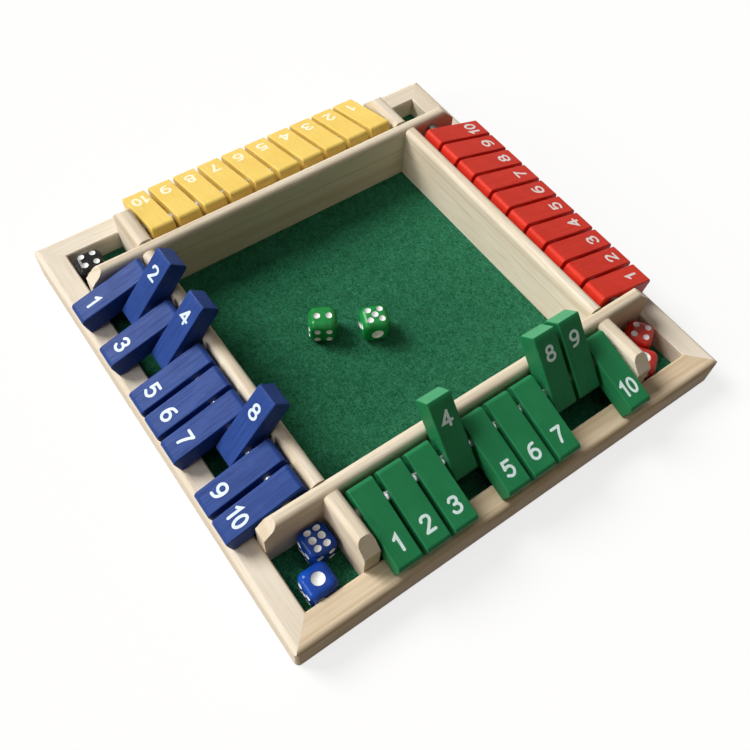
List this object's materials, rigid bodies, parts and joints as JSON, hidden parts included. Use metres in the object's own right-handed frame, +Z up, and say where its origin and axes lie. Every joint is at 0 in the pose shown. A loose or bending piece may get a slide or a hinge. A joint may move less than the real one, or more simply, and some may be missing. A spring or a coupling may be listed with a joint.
{
  "type": "four-player shut-the-box",
  "caption": "Square wooden dice game tray with a felted well and, along each side, a row of numbered tiles that flip over on a metal rod.",
  "frame": {"origin": "middle of the underside", "axes": "+Z up, -Y towards the green player, -X towards the blue player, +Y towards the yellow player, +X towards the red player"},
  "size_m": [0.2502, 0.25, 0.0553],
  "materials": {
    "pale_wood": "clear satin lacquer on pale softwood",
    "panel_wood": "plain plywood",
    "felt_green": "dense felt",
    "rod_steel": "bright plated steel",
    "paint_red": "red paint on wood",
    "paint_yellow": "yellow paint on wood",
    "paint_blue": "blue paint on wood",
    "paint_green": "green paint on wood",
    "dice_green": "polished",
    "dice_blue": "polished",
    "dice_red": "polished",
    "dice_black": "polished"
  },
  "bodies": {
    "tray": {"rail_front": "pale_wood", "rail_right": "pale_wood", "rail_back": "pale_wood", "rail_left": "pale_wood", "base_panel": "panel_wood", "felt": "felt_green", "divider_front": "pale_wood", "divider_back": "pale_wood", "divider_left": "pale_wood", "divider_right": "pale_wood", "bay_walls": "pale_wood", "rods": "rod_steel"},
    "tile_red_1": {"tile_red_1": "paint_red"},
    "tile_red_2": {"tile_red_2": "paint_red"},
    "tile_red_3": {"tile_red_3": "paint_red"},
    "tile_red_4": {"tile_red_4": "paint_red"},
    "tile_red_5": {"tile_red_5": "paint_red"},
    "tile_red_6": {"tile_red_6": "paint_red"},
    "tile_red_7": {"tile_red_7": "paint_red"},
    "tile_red_8": {"tile_red_8": "paint_red"},
    "tile_red_9": {"tile_red_9": "paint_red"},
    "tile_red_10": {"tile_red_10": "paint_red"},
    "tile_yellow_1": {"tile_yellow_1": "paint_yellow"},
    "tile_yellow_2": {"tile_yellow_2": "paint_yellow"},
    "tile_yellow_3": {"tile_yellow_3": "paint_yellow"},
    "tile_yellow_4": {"tile_yellow_4": "paint_yellow"},
    "tile_yellow_5": {"tile_yellow_5": "paint_yellow"},
    "tile_yellow_6": {"tile_yellow_6": "paint_yellow"},
    "tile_yellow_7": {"tile_yellow_7": "paint_yellow"},
    "tile_yellow_8": {"tile_yellow_8": "paint_yellow"},
    "tile_yellow_9": {"tile_yellow_9": "paint_yellow"},
    "tile_yellow_10": {"tile_yellow_10": "paint_yellow"},
    "tile_blue_1": {"tile_blue_1": "paint_blue"},
    "tile_blue_2": {"tile_blue_2": "paint_blue"},
    "tile_blue_3": {"tile_blue_3": "paint_blue"},
    "tile_blue_4": {"tile_blue_4": "paint_blue"},
    "tile_blue_5": {"tile_blue_5": "paint_blue"},
    "tile_blue_6": {"tile_blue_6": "paint_blue"},
    "tile_blue_7": {"tile_blue_7": "paint_blue"},
    "tile_blue_8": {"tile_blue_8": "paint_blue"},
    "tile_blue_9": {"tile_blue_9": "paint_blue"},
    "tile_blue_10": {"tile_blue_10": "paint_blue"},
    "tile_green_1": {"tile_green_1": "paint_green"},
    "tile_green_2": {"tile_green_2": "paint_green"},
    "tile_green_3": {"tile_green_3": "paint_green"},
    "tile_green_4": {"tile_green_4": "paint_green"},
    "tile_green_5": {"tile_green_5": "paint_green"},
    "tile_green_6": {"tile_green_6": "paint_green"},
    "tile_green_7": {"tile_green_7": "paint_green"},
    "tile_green_8": {"tile_green_8": "paint_green"},
    "tile_green_9": {"tile_green_9": "paint_green"},
    "tile_green_10": {"tile_green_10": "paint_green"},
    "die_green_a": {"die_green_a": "dice_green"},
    "die_green_b": {"die_green_b": "dice_green"},
    "die_blue_a": {"die_blue_a": "dice_blue"},
    "die_blue_b": {"die_blue_b": "dice_blue"},
    "die_red_a": {"die_red_a": "dice_red"},
    "die_red_b": {"die_red_b": "dice_red"},
    "die_black_a": {"die_black_a": "dice_black"},
    "die_black_b": {"die_black_b": "dice_black"}
  },
  "joints": [
    {"name": "flip_red_1", "type": "hinge", "parent": "tray", "child": "tile_red_1", "pos_m": [0.09569, -0.06675, 0.0302], "axis": [0, -1, 0], "range_deg": [0, 146.02]},
    {"name": "flip_red_2", "type": "hinge", "parent": "tray", "child": "tile_red_2", "pos_m": [0.09569, -0.05245, 0.0302], "axis": [0, -1, 0], "range_deg": [0, 146.02]},
    {"name": "flip_red_3", "type": "hinge", "parent": "tray", "child": "tile_red_3", "pos_m": [0.09569, -0.03815, 0.0302], "axis": [0, -1, 0], "range_deg": [0, 146.02]},
    {"name": "flip_red_4", "type": "hinge", "parent": "tray", "child": "tile_red_4", "pos_m": [0.09569, -0.02385, 0.0302], "axis": [0, -1, 0], "range_deg": [0, 146.02]},
    {"name": "flip_red_5", "type": "hinge", "parent": "tray", "child": "tile_red_5", "pos_m": [0.09569, -0.00955, 0.0302], "axis": [0, -1, 0], "range_deg": [0, 146.02]},
    {"name": "flip_red_6", "type": "hinge", "parent": "tray", "child": "tile_red_6", "pos_m": [0.09569, 0.00475, 0.0302], "axis": [0, -1, 0], "range_deg": [0, 146.02]},
    {"name": "flip_red_7", "type": "hinge", "parent": "tray", "child": "tile_red_7", "pos_m": [0.09569, 0.01905, 0.0302], "axis": [0, -1, 0], "range_deg": [0, 146.02]},
    {"name": "flip_red_8", "type": "hinge", "parent": "tray", "child": "tile_red_8", "pos_m": [0.09569, 0.03335, 0.0302], "axis": [0, -1, 0], "range_deg": [0, 146.02]},
    {"name": "flip_red_9", "type": "hinge", "parent": "tray", "child": "tile_red_9", "pos_m": [0.09569, 0.04765, 0.0302], "axis": [0, -1, 0], "range_deg": [0, 146.02]},
    {"name": "flip_red_10", "type": "hinge", "parent": "tray", "child": "tile_red_10", "pos_m": [0.09569, 0.06195, 0.0302], "axis": [0, -1, 0], "range_deg": [0, 146.02]},
    {"name": "flip_yellow_1", "type": "hinge", "parent": "tray", "child": "tile_yellow_1", "pos_m": [0.06705, 0.09389, 0.0302], "axis": [1, 0, 0], "range_deg": [0, 147.77]},
    {"name": "flip_yellow_2", "type": "hinge", "parent": "tray", "child": "tile_yellow_2", "pos_m": [0.05215, 0.09389, 0.0302], "axis": [1, 0, 0], "range_deg": [0, 147.77]},
    {"name": "flip_yellow_3", "type": "hinge", "parent": "tray", "child": "tile_yellow_3", "pos_m": [0.03725, 0.09389, 0.0302], "axis": [1, 0, 0], "range_deg": [0, 147.77]},
    {"name": "flip_yellow_4", "type": "hinge", "parent": "tray", "child": "tile_yellow_4", "pos_m": [0.02235, 0.09389, 0.0302], "axis": [1, 0, 0], "range_deg": [0, 147.77]},
    {"name": "flip_yellow_5", "type": "hinge", "parent": "tray", "child": "tile_yellow_5", "pos_m": [0.00745, 0.09389, 0.0302], "axis": [1, 0, 0], "range_deg": [0, 147.77]},
    {"name": "flip_yellow_6", "type": "hinge", "parent": "tray", "child": "tile_yellow_6", "pos_m": [-0.00745, 0.09389, 0.0302], "axis": [1, 0, 0], "range_deg": [0, 147.77]},
    {"name": "flip_yellow_7", "type": "hinge", "parent": "tray", "child": "tile_yellow_7", "pos_m": [-0.02235, 0.09389, 0.0302], "axis": [1, 0, 0], "range_deg": [0, 147.77]},
    {"name": "flip_yellow_8", "type": "hinge", "parent": "tray", "child": "tile_yellow_8", "pos_m": [-0.03725, 0.09389, 0.0302], "axis": [1, 0, 0], "range_deg": [0, 147.77]},
    {"name": "flip_yellow_9", "type": "hinge", "parent": "tray", "child": "tile_yellow_9", "pos_m": [-0.05215, 0.09389, 0.0302], "axis": [1, 0, 0], "range_deg": [0, 147.77]},
    {"name": "flip_yellow_10", "type": "hinge", "parent": "tray", "child": "tile_yellow_10", "pos_m": [-0.06705, 0.09389, 0.0302], "axis": [1, 0, 0], "range_deg": [0, 147.77]},
    {"name": "flip_blue_1", "type": "hinge", "parent": "tray", "child": "tile_blue_1", "pos_m": [-0.09569, 0.06705, 0.0302], "axis": [0, 1, 0], "range_deg": [0, 146.02]},
    {"name": "flip_blue_2", "type": "hinge", "parent": "tray", "child": "tile_blue_2", "pos_m": [-0.09569, 0.05215, 0.0302], "axis": [0, 1, 0], "range_deg": [-146.02, 0]},
    {"name": "flip_blue_3", "type": "hinge", "parent": "tray", "child": "tile_blue_3", "pos_m": [-0.09569, 0.03725, 0.0302], "axis": [0, 1, 0], "range_deg": [0, 146.02]},
    {"name": "flip_blue_4", "type": "hinge", "parent": "tray", "child": "tile_blue_4", "pos_m": [-0.09569, 0.02235, 0.0302], "axis": [0, 1, 0], "range_deg": [-146.02, 0]},
    {"name": "flip_blue_5", "type": "hinge", "parent": "tray", "child": "tile_blue_5", "pos_m": [-0.09569, 0.00745, 0.0302], "axis": [0, 1, 0], "range_deg": [0, 146.02]},
    {"name": "flip_blue_6", "type": "hinge", "parent": "tray", "child": "tile_blue_6", "pos_m": [-0.09569, -0.00745, 0.0302], "axis": [0, 1, 0], "range_deg": [0, 146.02]},
    {"name": "flip_blue_7", "type": "hinge", "parent": "tray", "child": "tile_blue_7", "pos_m": [-0.09569, -0.02235, 0.0302], "axis": [0, 1, 0], "range_deg": [0, 146.02]},
    {"name": "flip_blue_8", "type": "hinge", "parent": "tray", "child": "tile_blue_8", "pos_m": [-0.09569, -0.03725, 0.0302], "axis": [0, 1, 0], "range_deg": [-146.02, 0]},
    {"name": "flip_blue_9", "type": "hinge", "parent": "tray", "child": "tile_blue_9", "pos_m": [-0.09569, -0.05215, 0.0302], "axis": [0, 1, 0], "range_deg": [0, 146.02]},
    {"name": "flip_blue_10", "type": "hinge", "parent": "tray", "child": "tile_blue_10", "pos_m": [-0.09569, -0.06705, 0.0302], "axis": [0, 1, 0], "range_deg": [0, 146.02]},
    {"name": "flip_green_1", "type": "hinge", "parent": "tray", "child": "tile_green_1", "pos_m": [-0.06705, -0.09389, 0.0302], "axis": [-1, 0, 0], "range_deg": [0, 147.77]},
    {"name": "flip_green_2", "type": "hinge", "parent": "tray", "child": "tile_green_2", "pos_m": [-0.05215, -0.09389, 0.0302], "axis": [-1, 0, 0], "range_deg": [0, 147.77]},
    {"name": "flip_green_3", "type": "hinge", "parent": "tray", "child": "tile_green_3", "pos_m": [-0.03725, -0.09389, 0.0302], "axis": [-1, 0, 0], "range_deg": [0, 147.77]},
    {"name": "flip_green_4", "type": "hinge", "parent": "tray", "child": "tile_green_4", "pos_m": [-0.02235, -0.09389, 0.0302], "axis": [-1, 0, 0], "range_deg": [-147.77, 0]},
    {"name": "flip_green_5", "type": "hinge", "parent": "tray", "child": "tile_green_5", "pos_m": [-0.00745, -0.09389, 0.0302], "axis": [-1, 0, 0], "range_deg": [0, 147.77]},
    {"name": "flip_green_6", "type": "hinge", "parent": "tray", "child": "tile_green_6", "pos_m": [0.00745, -0.09389, 0.0302], "axis": [-1, 0, 0], "range_deg": [0, 147.77]},
    {"name": "flip_green_7", "type": "hinge", "parent": "tray", "child": "tile_green_7", "pos_m": [0.02235, -0.09389, 0.0302], "axis": [-1, 0, 0], "range_deg": [0, 147.77]},
    {"name": "flip_green_8", "type": "hinge", "parent": "tray", "child": "tile_green_8", "pos_m": [0.03725, -0.09389, 0.0302], "axis": [-1, 0, 0], "range_deg": [-147.77, 0]},
    {"name": "flip_green_9", "type": "hinge", "parent": "tray", "child": "tile_green_9", "pos_m": [0.05215, -0.09389, 0.0302], "axis": [-1, 0, 0], "range_deg": [-147.77, 0]},
    {"name": "flip_green_10", "type": "hinge", "parent": "tray", "child": "tile_green_10", "pos_m": [0.06705, -0.09389, 0.0302], "axis": [-1, 0, 0], "range_deg": [0, 147.77]},
    {"name": "lift_die_green_a", "type": "slide", "parent": "tray", "child": "die_green_a", "axis": [0, 0, 1], "range_m": [0, 0.06]},
    {"name": "lift_die_green_b", "type": "slide", "parent": "tray", "child": "die_green_b", "axis": [0, 0, 1], "range_m": [0, 0.06]},
    {"name": "lift_die_blue_a", "type": "slide", "parent": "tray", "child": "die_blue_a", "axis": [0, 0, 1], "range_m": [0, 0.06]},
    {"name": "lift_die_blue_b", "type": "slide", "parent": "tray", "child": "die_blue_b", "axis": [0, 0, 1], "range_m": [0, 0.06]},
    {"name": "lift_die_red_a", "type": "slide", "parent": "tray", "child": "die_red_a", "axis": [0, 0, 1], "range_m": [0, 0.06]},
    {"name": "lift_die_red_b", "type": "slide", "parent": "tray", "child": "die_red_b", "axis": [0, 0, 1], "range_m": [0, 0.06]},
    {"name": "lift_die_black_a", "type": "slide", "parent": "tray", "child": "die_black_a", "axis": [0, 0, 1], "range_m": [0, 0.06]},
    {"name": "lift_die_black_b", "type": "slide", "parent": "tray", "child": "die_black_b", "axis": [0, 0, 1], "range_m": [0, 0.06]}
  ]
}
